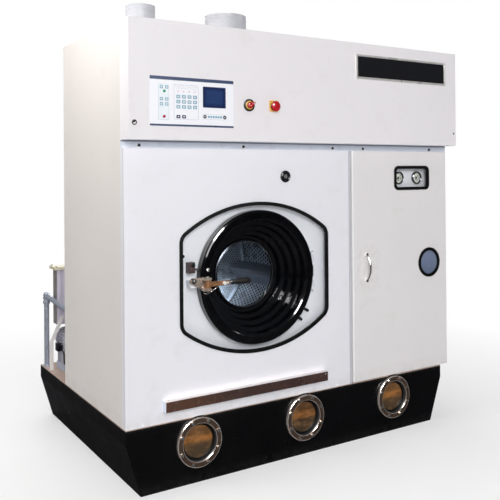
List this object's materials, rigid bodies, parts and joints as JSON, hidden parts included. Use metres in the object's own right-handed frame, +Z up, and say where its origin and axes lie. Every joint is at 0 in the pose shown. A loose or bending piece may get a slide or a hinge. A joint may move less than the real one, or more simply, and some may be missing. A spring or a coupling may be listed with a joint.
{
  "type": "dry cleaning machine",
  "caption": "Free-standing dry cleaning machine: cabinet on a solvent tank, round loading door, service door, control hood, drum with belt drive and rear plant.",
  "frame": {"origin": "centre of the tank's face that stands on the floor", "axes": "+X to the right of a person facing the front, +Y to the back, +Z up"},
  "size_m": [1.886, 1.305, 2.085],
  "materials": {
    "tank_black_enamel": "gloss black enamel, brushed on",
    "deck_primer": "matt tan primer",
    "port_steel": "turned stainless steel",
    "port_glass": "amber with solvent behind",
    "bolt_zinc": "bright zinc",
    "frame_grey": "satin grey-blue paint",
    "side_white": "powder coat, satin",
    "hood_white": "powder coat, satin",
    "front_white": "powder coat, satin",
    "screw_steel": "dark zinc",
    "bar_bronze": "gloss dark bronze",
    "plate_black": "gloss black with a silver edge, bare",
    "black_rubber": "extruded edging",
    "recess_white": "powder coat, satin",
    "tub_steel": "rolled stainless steel",
    "drum_steel": "perforated stainless steel",
    "lifter_steel": "folded stainless steel",
    "shaft_steel": "ground steel",
    "housing_grey": "painted casting",
    "pulley_iron": "turned cast iron",
    "belt_rubber": "ribbed belt",
    "motor_blue": "machine enamel",
    "door_black": "gloss black enamel on a casting",
    "door_glass": "clear tempered glass",
    "hinge_dark": "black enamel",
    "latch_steel": "cast and ground steel",
    "latch_brass": "worn brass",
    "grip_black": "moulded grip",
    "switch_brown": "moulded brown plastic",
    "lock_black": "moulded ring",
    "lock_chrome": "plated barrel",
    "door_white": "powder coat, satin",
    "hinge_steel": "zinc plated",
    "gauge_white": "powder coat, satin",
    "gauge_case": "black bezel with a pale dial",
    "needle_black": "black paint",
    "porthole_glass": "tinted glass",
    "handle_chrome": "plated rod",
    "overlay_film": "printed film with embossed keys",
    "display_navy": "dark blue display",
    "start_green": "moulded button",
    "stop_red": "moulded button",
    "switch_black": "moulded bezel",
    "knob_red": "moulded knob",
    "estop_yellow": "moulded plate",
    "duct_zinc": "galvanised sheet",
    "pipe_grey": "grey paint",
    "cooler_grey": "grey paint",
    "pump_grey": "grey enamel on castings",
    "filter_steel": "stainless vessel",
    "still_steel": "stainless vessel"
  },
  "bodies": {
    "cabinet": {"solvent_tank": "tank_black_enamel", "tank_deck": "deck_primer", "sight_port_flanges": "port_steel", "sight_port_glasses": "port_glass", "sight_port_bolts": "bolt_zinc", "frame_posts": "frame_grey", "frame_rails": "frame_grey", "left_side_panel": "side_white", "right_side_panel": "side_white", "rear_panel": "side_white", "control_hood": "hood_white", "front_panel": "front_white", "panel_screws": "screw_steel", "bumper_bar": "bar_bronze", "name_plate": "plate_black", "cutout_edging": "black_rubber", "door_gasket": "black_rubber", "recessed_plate": "recess_white", "outer_tub": "tub_steel", "hinge_pins": "shaft_steel", "bearing_housing": "housing_grey", "drive_belt": "belt_rubber", "drive_motor": "motor_blue", "door_hinge_bracket": "hinge_dark", "interlock_switch": "switch_brown", "lock_ring": "lock_black", "service_hinges": "hinge_steel", "control_overlay": "overlay_film", "display_screen": "display_navy", "main_switch_base": "switch_black", "estop_base": "estop_yellow", "duct_collars": "duct_zinc", "riser_pipe": "pipe_grey", "condenser_box": "cooler_grey", "solvent_pump": "pump_grey", "solvent_filter": "filter_steel", "still_vessel": "still_steel"},
    "drum": {"drum": "drum_steel", "drum_lifters": "lifter_steel", "drum_shaft": "shaft_steel", "drum_pulley": "pulley_iron"},
    "motor_pulley": {"motor_pulley": "pulley_iron"},
    "loading_door": {"loading_door": "door_black", "door_glass": "door_glass", "latch_bracket": "latch_steel"},
    "latch": {"latch_lever": "latch_brass", "latch_grip": "grip_black"},
    "service_door": {"service_door": "door_white", "door_edging": "black_rubber", "gauge_plate": "gauge_white", "gauge_cases": "gauge_case", "porthole_glass": "porthole_glass", "bow_handle": "handle_chrome"},
    "left_needle": {"left_needle": "needle_black"},
    "right_needle": {"right_needle": "needle_black"},
    "lock_barrel": {"lock_barrel": "lock_chrome"},
    "start_button": {"start_button": "start_green"},
    "stop_button": {"stop_button": "stop_red"},
    "main_switch": {"main_switch_knob": "knob_red"},
    "estop": {"estop_head": "knob_red"}
  },
  "joints": [
    {"name": "drum_spin", "type": "hinge", "parent": "cabinet", "child": "drum", "pos_m": [-0.251, -0.207, 0.854], "axis": [0, 1, 0], "continuous": true},
    {"name": "motor_spin", "type": "hinge", "parent": "cabinet", "child": "motor_pulley", "pos_m": [0.223, 0.263, 0.433], "axis": [0, 1, 0], "continuous": true},
    {"name": "loading_door_swing", "type": "hinge", "parent": "cabinet", "child": "loading_door", "pos_m": [0.069, -0.587, 0.854], "axis": [0, 0, 1], "range_deg": [0, 100]},
    {"name": "latch_turn", "type": "hinge", "parent": "loading_door", "child": "latch", "pos_m": [-0.534, -0.647, 0.85], "axis": [0, 0, -1], "range_deg": [0, 110]},
    {"name": "service_door_swing", "type": "hinge", "parent": "cabinet", "child": "service_door", "pos_m": [0.969, -0.593, 0.85], "axis": [0, 0, 1], "range_deg": [0, 110]},
    {"name": "left_gauge_turn", "type": "hinge", "parent": "service_door", "child": "left_needle", "pos_m": [0.645, -0.578, 1.2935], "axis": [0, 1, 0], "range_deg": [-180, 90]},
    {"name": "right_gauge_turn", "type": "hinge", "parent": "service_door", "child": "right_needle", "pos_m": [0.775, -0.578, 1.2935], "axis": [0, 1, 0], "range_deg": [-180, 90]},
    {"name": "lock_turn", "type": "hinge", "parent": "cabinet", "child": "lock_barrel", "pos_m": [-0.1, -0.607, 1.3075], "axis": [0, 1, 0], "range_deg": [0, 90]},
    {"name": "start_press", "type": "slide", "parent": "cabinet", "child": "start_button", "axis": [0, 1, 0], "range_m": [0, 0.0015], "stiffness_N_per_m": 400, "springref_m": -0.001},
    {"name": "stop_press", "type": "slide", "parent": "cabinet", "child": "stop_button", "axis": [0, 1, 0], "range_m": [0, 0.0015], "stiffness_N_per_m": 400, "springref_m": -0.001},
    {"name": "main_switch_turn", "type": "hinge", "parent": "cabinet", "child": "main_switch", "pos_m": [-0.33, -0.667, 1.624], "axis": [0, 1, 0], "range_deg": [0, 90]},
    {"name": "estop_press", "type": "slide", "parent": "cabinet", "child": "estop", "axis": [0, 1, 0], "range_m": [0, 0.005], "stiffness_N_per_m": 600, "springref_m": -0.001}
  ],
  "couplings": [
    {"joint": "motor_spin", "follows": "drum_spin", "ratio": 4.1667}
  ]
}
